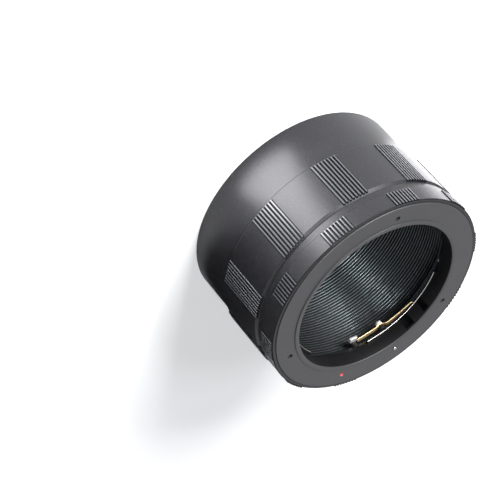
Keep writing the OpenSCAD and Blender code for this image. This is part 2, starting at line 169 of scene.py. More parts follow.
class Finish:
    """A new material with its shader, and one method that adds any node."""

    def __init__(self, name, surface="ShaderNodeBsdfPrincipled"):
        self.material = bpy.data.materials.new(name)
        self.material.use_nodes = True
        self.tree = self.material.node_tree
        self.tree.nodes.clear()
        self.output = self.tree.nodes.new("ShaderNodeOutputMaterial")
        self.surface = self.tree.nodes.new(surface)
        self.tree.links.new(self.surface.outputs[0], self.output.inputs["Surface"])

    def node(self, kind, settings=None, inputs=None, out=0):
        """Adds a node: its settings first, then the values or links of its sockets."""
        made = self.tree.nodes.new(kind)
        for key, value in (settings or {}).items():
            setattr(made, key, value)
        for key, value in (inputs or {}).items():
            self.feed(made.inputs[key], value)
        return Wire(self.tree, made.outputs[out])

    def feed(self, socket, value):
        if isinstance(value, Wire):
            self.tree.links.new(value.socket, socket)
        else:
            socket.default_value = value

    def set(self, **values):
        """Sets the shader's own sockets by name."""
        for key, value in values.items():
            name = key.replace("_", " ").title().replace("Ior", "IOR")
            if isinstance(value, tuple):
                value = (*value, 1)
            self.feed(self.surface.inputs[name], value)

    def noise(self, size, rough=0.5):
        """Noise on Object coordinates, with spots of the given size in metres."""
        place = self.node("ShaderNodeTexCoord", out="Object")
        spot = self.node("ShaderNodeMapping", {"vector_type": "TEXTURE"},
                         {"Vector": place, "Scale": [size] * 3})
        return self.node("ShaderNodeTexNoise", None,
                         {"Vector": spot, "Scale": 1.0, "Detail": 2, "Roughness": rough})

    def mix(self, factor, low, high):
        """Mixes two colours, each a tuple of three numbers or a wire."""
        low, high = ((*c, 1) if isinstance(c, tuple) else c for c in (low, high))
        return self.node("ShaderNodeMix", {"data_type": "RGBA"}, {0: factor, 6: low, 7: high}, out=2)

    def bump(self, height, depth):
        return self.node("ShaderNodeBump", None,
                         {"Height": height, "Distance": depth, "Strength": 1.0})


# %% [markdown]
# ## Floor and background
#
# The photograph has a pure white ground and a soft, faintly blue shadow to the lower left. The
# floor is a matt white sheet. More light would make it white too, but would bleach the object.
# So what the camera sees of the floor is mixed a little towards plain white, and the background
# is plain white to the camera and in reflections, and a soft pale blue as light.

# %% Floor and world
FLOOR_SIZE = 2.4
FLOOR_COLOUR = (0.9, 0.9, 0.915, 1)
FLOOR_WHITENING = 0.35
SOFT_SKY = ((0.93, 0.96, 1.0, 1), 0.22)
SEEN_SKY = ((1, 1, 1, 1), 1.0)


def deselect():
    """Clears the selection, so that the next operator acts on its own piece alone."""
    if bpy.context.object and bpy.context.object.mode != "OBJECT":
        bpy.ops.object.mode_set(mode="OBJECT")
    bpy.ops.object.select_all(action="DESELECT")


def make_floor():
    """A plain white sheet of matt paint, which keeps the shadow of the tube."""
    deselect()
    bpy.ops.mesh.primitive_plane_add(size=FLOOR_SIZE, location=(0, 0, 0))
    sheet = bpy.context.object
    sheet.name = "floor"
    look = Finish("floor_white", "ShaderNodeMixShader")
    seen = look.node("ShaderNodeLightPath", out="Is Camera Ray") * FLOOR_WHITENING
    matt = look.node("ShaderNodeBsdfDiffuse", None, {"Color": FLOOR_COLOUR})
    white = look.node("ShaderNodeEmission", None, {"Color": (1, 1, 1, 1), "Strength": 1.0})
    for i, wire in enumerate((seen, matt, white)):
        look.feed(look.surface.inputs[i], wire)
    sheet.data.materials.append(look.material)


def make_world():
    """Soft light from all round. What is seen of it, directly or in metal, is plain white."""
    world = bpy.data.worlds.new("studio")
    bpy.context.scene.world = world
    world.use_nodes = True
    tree = world.node_tree
    tree.nodes.clear()
    out = tree.nodes.new("ShaderNodeOutputWorld")
    ray = tree.nodes.new("ShaderNodeLightPath")
    mixed = tree.nodes.new("ShaderNodeMixShader")
    for i, (colour, strength) in enumerate((SOFT_SKY, SEEN_SKY), 1):
        sky = tree.nodes.new("ShaderNodeBackground")
        sky.inputs["Color"].default_value = colour
        sky.inputs["Strength"].default_value = strength
        tree.links.new(sky.outputs[0], mixed.inputs[i])
    straight, mirrored, through = (Wire(tree, ray.outputs[f"Is {kind} Ray"])
                                   for kind in ("Camera", "Glossy", "Transmission"))
    shows = (straight + mirrored + through).clamped()
    tree.links.new(shows.socket, mixed.inputs[0])
    tree.links.new(mixed.outputs[0], out.inputs["Surface"])


make_floor()
make_world()
bpy.context.scene.view_settings.view_transform = "Standard"
print("floor:", FLOOR_SIZE, "m wide")

# %% [markdown]
# ## Lamps and cards
#
# Black metal has almost no colour of its own: what is seen on it is what it mirrors. So the lamps
# are placed by their reflections. A large window to the left gives the main light, and two narrow
# strips give the thin highlights on the rounded edges. The upright walls mirror the floor towards
# the camera, so their highlights come from bright cards that lie flat there. A black card does
# the opposite and keeps the dark side dark.

# %% Lamps
AIM = Vector((0, 0, 0.02))
SKY_BLUE = (0.94, 0.98, 1.0)
CARD_COLOUR = (0.98, 0.97, 1.0)


def area_lamp(name, spot, turn, size, power, colour):
    """A rectangular lamp that the camera doesn't see."""
    data = bpy.data.lights.new(name, "AREA")
    data.shape = "RECTANGLE"
    data.size, data.size_y = size
    data.energy = power
    data.color = colour
    lamp = bpy.data.objects.new(name, data)
    bpy.context.scene.collection.objects.link(lamp)
    lamp.matrix_world = Matrix.Translation(spot) @ turn
    lamp.visible_camera = False
    print("lamp", name, "at", [round(c, 3) for c in spot])


def soft_box(name, azimuth, height, distance, size, power, colour):
    """A soft box. Azimuth is counted from the camera's side of the tube."""
    a = CAMERA_AZIMUTH + math.radians(azimuth)
    h = math.radians(height)
    outward = Vector((math.cos(h) * math.cos(a), math.cos(h) * math.sin(a), math.sin(h)))
    spot = AIM + distance * outward
    turn = (AIM - spot).to_track_quat("-Z", "Y").to_matrix().to_4x4()
    area_lamp(name, spot, turn, size, power, colour)


def floor_card(name, azimuth, near, far, width, power):
    """A bright card flat on the floor, from near to far of the axis."""
    a = CAMERA_AZIMUTH + math.radians(azimuth)
    middle = (near + far) / 2
    spot = Vector((middle * math.cos(a), middle * math.sin(a), 0.3 * MM))
    turn = Matrix.Rotation(a - math.pi / 2, 4, "Z") @ Matrix.Rotation(math.pi, 4, "X")
    area_lamp(name, spot, turn, (width, far - near), power, CARD_COLOUR)


def black_card(azimuth, near, far, width):
    """A black card on the floor, out of the camera's sight, for the dark side to mirror."""
    deselect()
    bpy.ops.mesh.primitive_plane_add(size=1, location=((near + far) / 2, 0, 0.2 * MM))
    card = bpy.context.object
    card.scale = (far - near, width, 1)
    bpy.ops.object.transform_apply(location=True, rotation=False, scale=True)
    card.rotation_euler.z = CAMERA_AZIMUTH + math.radians(azimuth)
    bpy.ops.object.transform_apply(location=False, rotation=True, scale=False)
    card.name = "black_card"
    look = Finish("card_black", "ShaderNodeBsdfDiffuse")
    look.set(color=(0.004, 0.004, 0.004))
    card.data.materials.append(look.material)
    card.visible_camera = False
    card.visible_diffuse = False
    card.visible_shadow = False


soft_box("window", -52, 29, 0.9, (0.5, 0.35), 22, (1.0, 0.99, 0.985))
soft_box("sky_left", -54, 56, 0.5, (0.05, 0.12), 0.75, SKY_BLUE)
soft_box("sky_right", 8, 56, 0.5, (0.03, 0.12), 1.1, SKY_BLUE)
floor_card("card_front", -1, 0.038, 0.115, 0.028, 0.11)
floor_card("card_right", -122, 0.036, 0.13, 0.05, 0.06)
black_card(80, 0.034, 0.12, 0.1)

# %% [markdown]
# ## Finishes
#
# Black anodised aluminium is not a flat black. The surface under the oxide was blasted, so its
# gloss changes from grain to grain, and the dye leaves a very dark grey with faint blotches. Close
# up, tiny bare grains glint in it: these flecks are the peaks of a fine noise, where the finish is
# turned metallic. Brass, steel and worn edges are plain metals with a fine grain. A picture of
# each could be laid on, but noise in three dimensions needs no seams and no unwrapping.

# %% Finishes
FLECK = (0.22, 0.22, 0.24)
FLECK_FROM = 0.58  # a noise value above this is a fleck
FLECK_EDGE = 8
BLOTCH_SIZE = 5 * MM


def tinted(colour, factor):
    return tuple(c * factor for c in colour)


def anodised(name, colour, rough, grain=0.22 * MM, depth=0.012 * MM, ior=1.6, flecks=0.0):
    """A dyed oxide over blasted metal. The IOR sets how strongly the oxide mirrors."""
    look = Finish(name)
    fine = look.noise(grain, 0.6)
    wide = look.noise(BLOTCH_SIZE)
    blotch = (fine * 0.5 + wide * 0.5).clamped()
    tone = look.mix(blotch, tinted(colour, 0.7), tinted(colour, 1.3))
    sparkle = ((fine - FLECK_FROM) * FLECK_EDGE).clamped() * flecks
    look.set(base_color=look.mix(sparkle, tone, FLECK), metallic=sparkle,
             roughness=(fine - 0.5) * 0.16 + rough, normal=look.bump(fine, depth), ior=ior)
    return look.material


def metal(name, colour, rough, grain=0.3 * MM, depth=0.004 * MM):
    """Bare or plated metal with a fine grain."""
    look = Finish(name)
    fine = look.noise(grain, 0.6)
    look.set(base_color=look.mix(fine, tinted(colour, 0.85), colour), metallic=1.0,
             roughness=(fine - 0.5) * 0.12 + rough, normal=look.bump(fine, depth))
    return look.material


# colour, roughness, grain, depth of the grain, IOR and share of flecks
BLACK_COAT = ((0.006, 0.006, 0.0075), 0.4, 0.2 * MM, 0.014 * MM, 1.39, 0.16)
FINISHES = {
    "tube_black": anodised("tube_black", *BLACK_COAT),
    "ring_black": anodised("ring_black", *BLACK_COAT),
    "crest_grey": anodised("crest_grey", (0.03, 0.033, 0.038), 0.34, 0.15 * MM, 0.006 * MM),
    # a near-black, barely mirroring copy of the black finish for the ground and flanks between the
    # ribs: painted shade
    "painted_shade_valley": anodised("painted_shade_valley", (0.003, 0.003, 0.0035), 0.6, ior=1.25),
    # a still darker, barely mirroring copy of the black finish for the grooves of the bore: painted
    # shade
    "painted_shade_bore": anodised("painted_shade_bore", (0.002, 0.0025, 0.003), 0.5, depth=0, ior=1.2),
    "bore_crest": metal("bore_crest", (0.12, 0.14, 0.145), 0.3, 0.4 * MM, 0),
    # a darker, less mirroring copy of the flange's finish for the wall of the throat: painted shade
    "painted_shade_throat": anodised("painted_shade_throat", (0.003, 0.003, 0.0035), 0.4, ior=1.33),
    "face_grey": anodised("face_grey", (0.02, 0.02, 0.022), 0.45, 0.3 * MM, 0.006 * MM, 1.52),
    "keeper_black": anodised("keeper_black", (0.004, 0.004, 0.0045), 0.55, ior=1.35),
    "spring_brass": metal("spring_brass", (1.0, 0.76, 0.44), 0.5, depth=0),
    "screw_steel": metal("screw_steel", (0.95, 0.94, 0.92), 0.5, depth=0),
    "screw_black": anodised("screw_black", (0.008, 0.008, 0.008), 0.45),
    "index_red": anodised("index_red", (0.3, 0.016, 0.03), 0.4),
    "pin_steel": metal("pin_steel", (0.4, 0.4, 0.37), 0.3),
    "slider_black": anodised("slider_black", (0.02, 0.02, 0.022), 0.4),
    "bare_metal": metal("bare_metal", (0.62, 0.59, 0.56), 0.4, depth=0),
}
slot_of = {s["node"]: s["material_slot"] for s in frame["record"]["subparts"]}
for name, piece in nodes.items():
    piece.data.materials.clear()
    piece.data.materials.append(FINISHES[slot_of[name]])
print("finishes:", len(FINISHES), "nodes dressed:", len(nodes))

# %% [markdown]
# ## The lathe
#
# Nearly everything here was turned on a lathe, so nearly everything starts the same way. A plane
# is added and merged to one vertex. The vertex is extruded from point to point along the half
# section, and the section is spun about the optical axis. The alternative is a cylinder that is
# extruded and scaled ring by ring, which is harder to read when a section has a hundred points.

# %% Lathe
SPIN_STEPS = 240
SAME_PLACE = 0.001 * MM


def pick(piece):
    """Makes one piece the only selected one, and the active one."""
    deselect()
    piece.select_set(True)
    bpy.context.view_layer.objects.active = piece


def turn_piece(piece, angle):
    """Turns a piece about the optical axis and applies the turn to its mesh."""
    pick(piece)
    piece.rotation_euler.z = angle
    bpy.ops.object.transform_apply(location=False, rotation=True, scale=False)


def draw_section(name, section):
    """Extrudes one vertex along a closed section of (radius, height) points."""
    section = [(r * MM, z * MM) for r, z in section]
    deselect()
    bpy.ops.mesh.primitive_plane_add(size=MM)
    piece = bpy.context.object
    piece.name = name
    bpy.ops.object.mode_set(mode="EDIT")
    bpy.ops.mesh.merge(type="CENTER")
    bpy.ops.transform.translate(value=(section[0][0], 0, section[0][1]))
    for (r0, z0), (r1, z1) in zip(section, section[1:]):
        bpy.ops.mesh.extrude_region_move(TRANSFORM_OT_translate={"value": (r1 - r0, 0, z1 - z0)})
    # the two ends of the line belong to one edge each: they are selected and joined
    bpy.ops.object.mode_set(mode="OBJECT")
    used = [i for edge in piece.data.edges for i in edge.vertices]
    for vertex in piece.data.vertices:
        vertex.select = used.count(vertex.index) == 1
    for edge in piece.data.edges:
        edge.select = False
    bpy.ops.object.mode_set(mode="EDIT")
    bpy.ops.mesh.edge_face_add()
    bpy.ops.mesh.select_all(action="SELECT")
    return piece


def close_up():
    """Merges doubles and turns every face outwards."""
    bpy.ops.mesh.select_all(action="SELECT")
    bpy.ops.mesh.remove_doubles(threshold=SAME_PLACE)
    bpy.ops.mesh.normals_make_consistent(inside=False)
    bpy.ops.object.mode_set(mode="OBJECT")


def lathe(name, section, steps=SPIN_STEPS, angle=TURN, start=0.0):
    """Spins a closed section about the optical axis, all round or through an angle."""
    piece = draw_section(name, section)
    # with no window the spin turns the other way, so the angle is given with its sign changed
    bpy.ops.mesh.spin(steps=steps, angle=-angle, center=(0, 0, 0), axis=(0, 0, 1))
    bpy.ops.mesh.select_all(action="SELECT")
    bpy.ops.mesh.remove_doubles(threshold=SAME_PLACE)
    if angle < TURN:
        bpy.ops.mesh.fill_holes(sides=0)
    close_up()
    if start:
        turn_piece(piece, start)
    return piece


# %% [markdown]
# ## Blocks, rods and cuts
#
# What wasn't turned was drilled or milled. Its cutters are boxes and round bars, which a Boolean
# modifier takes away. The small blocks of the lock start from the same box, and a bevel rounds
# them. Each modifier is applied at once, so that the next step works on real faces, and so that
# one piece can be copied round the axis with a mesh of its own for each copy.

# %% Blocks, rods and cuts
def polar(r, degrees):
    return (r * math.cos(math.radians(degrees)), r * math.sin(math.radians(degrees)))


def select_points(piece, test):
    """Selects the vertices whose place passes the test, and the edges and faces between them."""
    bpy.ops.object.mode_set(mode="OBJECT")
    mesh = piece.data
    for vertex in mesh.vertices:
        vertex.select = bool(test(vertex.co))
    for group in (mesh.edges, mesh.polygons):
        for part in group:
            part.select = all(mesh.vertices[i].select for i in part.vertices)
    bpy.ops.object.mode_set(mode="EDIT")


def rod(name, r, low, high, spot=(0, 0), bevel=0.0):
    """A round bar along Z between two heights, with its top edge bevelled."""
    deselect()
    middle = (spot[0] * MM, spot[1] * MM, (low + high) / 2 * MM)
    bpy.ops.mesh.primitive_cylinder_add(vertices=32, radius=r * MM, depth=(high - low) * MM,
                                        location=middle)
    piece = bpy.context.object
    piece.name = name
    bpy.ops.object.transform_apply(location=True)
    if bevel:
        select_points(piece, lambda co: co.z > (high - 0.001) * MM)
        bpy.ops.mesh.bevel(offset=bevel * MM, segments=3)
        bpy.ops.object.mode_set(mode="OBJECT")
    return piece


def block(name, low, high):
    """A box between two corners."""
    deselect()
    bpy.ops.mesh.primitive_cube_add(size=1, location=[(a + b) / 2 * MM for a, b in zip(low, high)],
                                    scale=[(b - a) * MM for a, b in zip(low, high)])
    piece = bpy.context.object
    piece.name = name
    bpy.ops.object.transform_apply(location=True, rotation=False, scale=True)
    return piece


def use_modifier(piece, kind, **settings):
    """Adds a modifier and applies it at once."""
    pick(piece)
    modifier = piece.modifiers.new(kind.lower(), kind)
    for key, value in settings.items():
        setattr(modifier, key, value)
    bpy.ops.object.modifier_apply(modifier=modifier.name)
    return piece


def rounded(piece, width):
    return use_modifier(piece, "BEVEL", width=width * MM, segments=3, limit_method="ANGLE")


def copies_round(piece, angles):
    """Copies a piece to each angle about the optical axis, each copy with its own mesh."""
    made = []
    for angle in angles:
        pick(piece)
        bpy.ops.object.duplicate()
        made.append(bpy.context.object)
        turn_piece(made[-1], angle)
    bpy.data.objects.remove(piece)
    return made


def join(name, pieces):
    deselect()
    for piece in pieces:
        piece.select_set(True)
    bpy.context.view_layer.objects.active = pieces[0]
    bpy.ops.object.join()
    pieces[0].name = name
    return pieces[0]


def cut(piece, cutters):
    """Takes the cutters away from a piece. Cutters used together don't overlap."""
    tool = join("cutter", cutters) if len(cutters) > 1 else cutters[0]
    use_modifier(piece, "BOOLEAN", operation="DIFFERENCE", solver="EXACT", object=tool)
    bpy.data.objects.remove(tool)
    return piece


# %% [markdown]
# ## From a mesh to a finished piece
#
# One turned piece shows several finishes: its crests are worn, and its valleys and the grooves of
# its bore get darker copies of the black finish, which is painted shade. Painting masks in the
# shader could do that, but the faces already lie where a finish changes. So each face gets its own
# material by its place and the way it faces. Then the piece is shaded smooth except at real edges,
# and the frame is told what it rides on and replaces.

# %% Dress and finish
SMOOTH_ANGLE = math.radians(28)


def dress(piece, slots, choose):
    """Gives each face the finish that choose names from its radius and height in millimetres,
    how far it faces away from the axis, and how far it faces up."""
    for slot in slots:
        piece.data.materials.append(FINISHES[slot])
    for face in piece.data.polygons:
        spot = Vector((face.center.x, face.center.y, 0))
        out = face.normal.dot(spot.normalized())
        chosen = choose(spot.length / MM, face.center.z / MM, out, face.normal.z)
        face.material_index = slots.index(chosen)


def finish(piece, body, slot, node):
    """Gives a finished piece its surface and tells the frame what it rides on and replaces."""
    if not piece.data.materials:
        piece.data.materials.append(FINISHES[slot])
    pick(piece)
    bpy.ops.object.shade_smooth_by_angle(angle=SMOOTH_ANGLE)
    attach(piece, body)
    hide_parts(node)
    print(piece.name, "has", len(piece.data.polygons), "faces")


# %% [markdown]
# ## Ribbed pads
#
# The grip is ten pads of eight straight ribs. On the real tube a cutter mills a shallow ground
# and leaves the ribs standing. The ground is cut here with a Boolean, and one rib is modelled
# and copied, because each rib is the same and a Boolean for each would be slow and rough.

# %% Ribs
PADS = 10
RIBS = 8
RIB_PITCH = math.radians(1.74)
GROUND_R = 32.3
RIB_TOP_R = 32.8
RIB_HALF = 0.31
CREST_NARROWING = 0.42 / 0.62


def pad_angles(first):
    return [math.radians(first) + i * TURN / PADS for i in range(PADS)]


def rib(low, high):
    """One rib at angle zero: a block with a narrower, bevelled crest."""
    piece = block("rib", (31.9, -RIB_HALF, low), (RIB_TOP_R, RIB_HALF, high))
    select_points(piece, lambda co: co.x > (RIB_TOP_R - 0.01) * MM)
    bpy.ops.transform.resize(value=(1, CREST_NARROWING, 1))
    bpy.ops.mesh.bevel(offset=0.07 * MM, segments=2)
    bpy.ops.object.mode_set(mode="OBJECT")
    return piece


def ribbed_pads(low, high, pads):
    """All the ribs of the given pads in one mesh."""
    places = [pad + (i - (RIBS - 1) / 2) * RIB_PITCH for pad in pads for i in range(RIBS)]
    print("ribs:", len(places))
    return join("ribs", copies_round(rib(low, high), places))


def ground_cutters(low, high, pads):
    """Arcs that cut the ground of each pad into the band."""
    span = RIBS * RIB_PITCH
    above = GROUND_R + 1.5
    section = [(GROUND_R, low), (above, low), (above, high), (GROUND_R, high)]
    return copies_round(lathe("ground", section, 8, span, -span / 2), pads)


def grip_finish(plain, r, out):
    """Bright crests, painted shade on the ground and flanks between the ribs, and the plain finish
    elsewhere.
    """
    if r > 32.7:
        return "crest_grey"
    # the ground and flanks between the ribs are painted darker, as shade
    return "painted_shade_valley" if 32.2 < r < 32.7 and (out < 0.6 or r < 32.4) else plain


# %% [markdown]
# ## Threads
#
# The CAD model has plain cylinders for its joining threads, because a real thread is a long helix
# that a contact model can't use. Here the Screw modifier carries a small triangle up the axis. It
# is closed at both ends and laid on the cylinder, which gives the look of a cut thread.

# %% Threads
THREAD_PITCH = 0.75
THREAD_STEPS = 96


def thread_ridge(name, root, crest, low, turns):
    """One ridge wound in a helix from a height, on a root radius."""
    half = THREAD_PITCH * 0.42
    piece = draw_section(name, [(root, low - half), (crest, low), (root, low + half)])
    use_modifier(piece, "SCREW", angle=TURN, screw_offset=THREAD_PITCH * MM, iterations=turns,
                 steps=THREAD_STEPS, render_steps=THREAD_STEPS, axis="Z")
    bpy.ops.object.mode_set(mode="EDIT")
    bpy.ops.mesh.select_all(action="SELECT")
    bpy.ops.mesh.fill_holes(sides=0)
    close_up()
    print(name, "has", turns, "turns")
    return piece


# %% [markdown]
# ## The tube
#
# The tube is one turned piece: a smooth rear skirt, a slightly wider grip band, a threaded neck
# at the front and a threaded socket at the rear. Its bore is cut all the way down with fine
# grooves, which catch stray light. A bump in the material could imitate them, but the photograph
# looks straight at them, so they are drawn in the section, point by point. Their crests are worn
# to a paler line, which is a finish of its own.

# %% Tube
BAFFLE_PITCH = 0.9
BAFFLE_DEPTH = 0.4
BAFFLE_CREST = 0.2
BAFFLE_NICK = 0.06
TUBE_PAD = 30.7


def baffle(top, bottom, r):
    """Grooves from the top down, with a small bevel on each side of a crest."""
    points = []
    for i in range(int((top - bottom) / BAFFLE_PITCH)):
        z = top - i * BAFFLE_PITCH
        points += [(r + BAFFLE_NICK, z), (r, z - BAFFLE_NICK),
                   (r, z - BAFFLE_CREST + BAFFLE_NICK), (r + BAFFLE_NICK, z - BAFFLE_CREST),
                   (r + BAFFLE_DEPTH, z - (BAFFLE_CREST + BAFFLE_PITCH) / 2)]
    return points


TUBE_SECTION = [
    # rear rim, skirt and grip band
    (28.3, 0), (31.65, 0), (31.78, 0.05), (31.9, 0.25), (31.9, 14.8), (GRIP_R, 15.4), (GRIP_R, 30.2),
    # shoulder and neck
    (31.7, SEAT_Z), (27.85, SEAT_Z), (27.85, 33.75), (27.65, 34.0), (27.15, 34.0), (BORE_R, 33.85),
    # grooved bore and rear socket
    *baffle(SEAT_Z, 5.4, BORE_R), (BORE_R, 4.65), (27.15, 4.5), (28.5, 4.5), (28.5, 0.2)]

tube_pads = pad_angles(TUBE_PAD)
tube = cut(lathe("tube", TUBE_SECTION), ground_cutters(15.75, 32.5, tube_pads))
tube = join("tube", [tube, ribbed_pads(15.6, 30.75, tube_pads),
                     thread_ridge("neck_thread", 27.8, 28.15, 31.55, 2),
                     thread_ridge("rear_thread", 28.55, 28.22, 0.8, 4)])


def tube_finish(r, z, out, up):
    if r < 27.6:
        # the groove faces of the bore, all but the crests, take painted shade
        return "bore_crest" if r < BORE_R + 0.04 else "painted_shade_bore"
    return grip_finish("tube_black", r, out) if 15.5 < z < 30.2 else "tube_black"


dress(tube, ["tube_black", "crest_grey", "painted_shade_valley", "painted_shade_bore", "bore_crest"], tube_finish)
finish(tube, "tube", "tube_black", "extension_tube")

# %% [markdown]
# ## The mount ring
#
# The mount ring screws onto the neck and carries the lens mount. It is made as the tube is: spun,
# with its own shorter pads, and with a ridge for its thread. For the lens lock on the far side a
# flat bed is milled for the button, a gate lets the carrier through, and a well holds the coil
# spring. The rim above the bed is left whole. These three cutters overlap, and a Boolean needs a
# clean closed cutter, so they are used one after another.

# %% Mount ring
BED_R = 31.7
BED_HALF = 4.7
RING_PAD = 11.4
LOCK = math.radians(LOCK_ANGLE)


def clear_of_bed(pads):
    """The pads that the flat bed of the slider doesn't reach."""
    reach = math.asin(BED_HALF / BED_R) + RIB_PITCH * (RIBS + 1) / 2
    return [a for a in pads if abs((a - LOCK + math.pi) % TURN - math.pi) > reach]


def ring_finish(r, z, out, up):
    return grip_finish("ring_black", r, out) if 33.6 < z < 38.5 and r < 33 else "ring_black"


RING_SECTION = [
    # rear end, step up to the grip band, front rim
    (28.45, SEAT_Z), (31.85, SEAT_Z), (32.1, 31.25), (32.1, 33.1), (GRIP_R, 33.5), (GRIP_R, 38.3),
    (32.25, 38.55), (31.55, 38.55), (31.5, 38.5),
    # seat and hole of the flange, female thread
    (31.5, 37.3), (26.45, 37.3), (26.45, 34.2), (28.45, 34.2)]

ring_pads = clear_of_bed(pad_angles(RING_PAD))
ring = cut(lathe("ring", RING_SECTION), ground_cutters(33.85, 40.0, ring_pads))
for cutter in (block("bed", (BED_R, -BED_HALF, 32.6), (BED_R + 3, BED_HALF, 37.8)),
               block("gate", (25.4, -1.6, 34.1), (BED_R + 1, 1.6, 37.55)),
               rod("well", 0.99, 31.8, 35.7, (30.15, 0))):
    turn_piece(cutter, LOCK)
    ring = cut(ring, [cutter])
ring = join("ring", [ring, ribbed_pads(33.7, 38.43, ring_pads),
                     thread_ridge("ring_thread", 28.5, 28.2, 31.6, 2)])
dress(ring, ["ring_black", "crest_grey", "painted_shade_valley"], ring_finish)
finish(ring, "ring", "ring_black", "mount_ring")

# %% [markdown]
# ## The bayonet flange
#
# The flange is a face plate and a sleeve in one piece. Three lugs reach into the throat and hold
# the lens. They could be cut out of a full ring, but one lug spun through its own angle and copied
# is cleaner. Their upper edge is the only bare metal in the photograph: lens after lens has rubbed
# the black off it, and it shows as a thin bright line. So the bevel gets a finish of its own.

# %% Flange
LUG_R = 23.4
LUG_SPAN = math.radians(68)
LUG_ANGLES = [math.radians(a) for a in (99.3, 219.3, 339.3)]
POCKETS = ((94.1, 2.9), (108.9, 2.1))  # angle and width of each
SCREW_R = 27.85
SCREW_ANGLES = (231.8, 346.3, 117.3)
INDEX_ANGLE = 41.4
PIN_SPOT = polar(27.5, LOCK_ANGLE)

FLANGE_SECTION = [
    # sleeve and face plate, from behind
    (24.7, LUG_Z), (26.4, LUG_Z), (26.4, 37.3), (31.4, 37.3), (31.4, 38.68), (31.28, FACE_Z),
    # raised lip round the throat
    (25.72, FACE_Z), (25.7, 38.82), (25.7, 39.0), (25.65, 39.05), (24.65, 39.05), (24.48, 38.98),
    # throat
    (THROAT_R, FACE_Z), (THROAT_R, LUG_TOP_Z), (24.7, LUG_TOP_Z)]
LUG_SECTION = [
    (25.2, LUG_Z), (25.2, LUG_TOP_Z), (LUG_R + 0.08, LUG_TOP_Z), (LUG_R, LUG_TOP_Z - 0.08),
    (LUG_R, LUG_Z + 0.12), (LUG_R + 0.12, LUG_Z)]


def pocket_cutters():
    """Boxes at the pockets, sunk a little into the top of the lug behind its bright edge."""
    made = []
    for angle, width in POCKETS:
        made.append(block("pocket", (23.75, -width / 2, 34.3), (25.9, width / 2, 38.15)))
        turn_piece(made[-1], math.radians(angle))
    return made


def index_ball(name, radius):
    """A ball over the index mark, whose lowest part dips into the face."""
    deselect()
    x, y = polar(SCREW_R, INDEX_ANGLE)
    bpy.ops.mesh.primitive_uv_sphere_add(segments=32, ring_count=16, radius=radius * MM,
                                         location=(x * MM, y * MM, (FACE_Z + 0.4) * MM))
    piece = bpy.context.object
    piece.name = name
    bpy.ops.object.transform_apply(location=True)
    return piece


def flange_finish(r, z, out, up):
    if LUG_R < r < LUG_R + 0.07 and z > LUG_TOP_Z - 0.1 and 0.3 < up < 0.9:
        return "bare_metal"
    # the wall of the throat, below the face, takes painted shade
    return "painted_shade_throat" if r < 25.95 and z < FACE_Z - 0.05 else "face_grey"


lugs = copies_round(lathe("lug", LUG_SECTION, 44, LUG_SPAN, -LUG_SPAN / 2), LUG_ANGLES)
lugs[0] = cut(lugs[0], pocket_cutters())
holes = [rod("screw_hole", 0.75, 37.0, 40.0, polar(SCREW_R, a)) for a in SCREW_ANGLES]
holes.append(rod("pin_hole", 0.73, 37.0, 40.0, PIN_SPOT))
flange = cut(lathe("flange", FLANGE_SECTION), pocket_cutters() + holes)
flange = cut(flange, [index_ball("drill", 0.85)])
flange = join("flange", [flange, *lugs])
dress(flange, ["face_grey", "painted_shade_throat", "bare_metal"], flange_finish)
print("worn faces on the lugs:", sum(f.material_index == 2 for f in flange.data.polygons))
finish(flange, "ring", "face_grey", "bayonet_flange")

# %% [markdown]
# ## Index dot, screws and lock pin
#
# The index dot is red enamel in a drilled dimple. A flat red disc would do from afar, but enamel
# in a dimple shades like a bowl, so its paint is the bottom of a slightly smaller ball with a
# thin wall. The three set screws have slots and sit a little below the face. Their slots are cut
# with a thin blade. The lock pin is a polished rod with a rounded end.

# %% Small pieces of the face
SET_TOP = 38.4


def slotted(piece, r, low, high, width, spot, degrees):
    """Cuts a screwdriver slot between two heights across the end of a screw."""
    blade = block("blade", (-r - 0.2, -width / 2, low), (r + 0.2, width / 2, high))
    blade.rotation_euler.z = math.radians(degrees)
    blade.location = (spot[0] * MM, spot[1] * MM, 0)
    bpy.ops.object.transform_apply(location=True, rotation=True)
    return cut(piece, [blade])


paint = index_ball("index_paint", 0.83)
select_points(paint, lambda co: True)
bpy.ops.mesh.bisect(plane_co=(0, 0, 38.68 * MM), plane_no=(0, 0, 1), clear_outer=True,
                    use_fill=False)
bpy.ops.object.mode_set(mode="OBJECT")
finish(use_modifier(paint, "SOLIDIFY", thickness=0.04 * MM, offset=1),
       "ring", "index_red", "index_dot")
for i, angle in enumerate(SCREW_ANGLES, 1):
    spot = polar(SCREW_R, angle)
    screw = rod(f"set_screw_{i}", 0.7, 35.6, SET_TOP, spot, bevel=0.12)
    screw = slotted(screw, 0.7, SET_TOP - 0.3, SET_TOP + 0.5, 0.26, spot, 20 + 50 * i)
    finish(screw, "ring", "screw_black", f"face_screw_{i}")
finish(rod("polished_pin", 0.6, 35.4, 39.15, PIN_SPOT, bevel=0.35), "release", "pin_steel",
       "lock_pin")

# %% [markdown]
# ## Keeper ring
#
# The keeper ring sits behind the sleeve and carries the springs. Seen from the front it is only
# a black shadow with ears that reach inwards, one with a short post for each spring and one for
# the stop. The grooves of the bore show between the ears, so the ring has no floor there, and
# the solids' plain floor is left out. The ring is spun, and the ears are rods with a bridge.

# %% Keeper ring
LEAF_R = 23.95
KEEPER_Z = 33.1
POST_Z = 32.55
SPRING_ANGLES = (79, 199, 319)
STOP_ANGLE = 58
STOP_Z = 32.35
KEEPER_SECTION = [(25.4, KEEPER_Z), (26.5, KEEPER_Z), (26.6, 33.2), (26.6, LUG_Z), (25.3, LUG_Z),
                  (25.3, 33.2)]


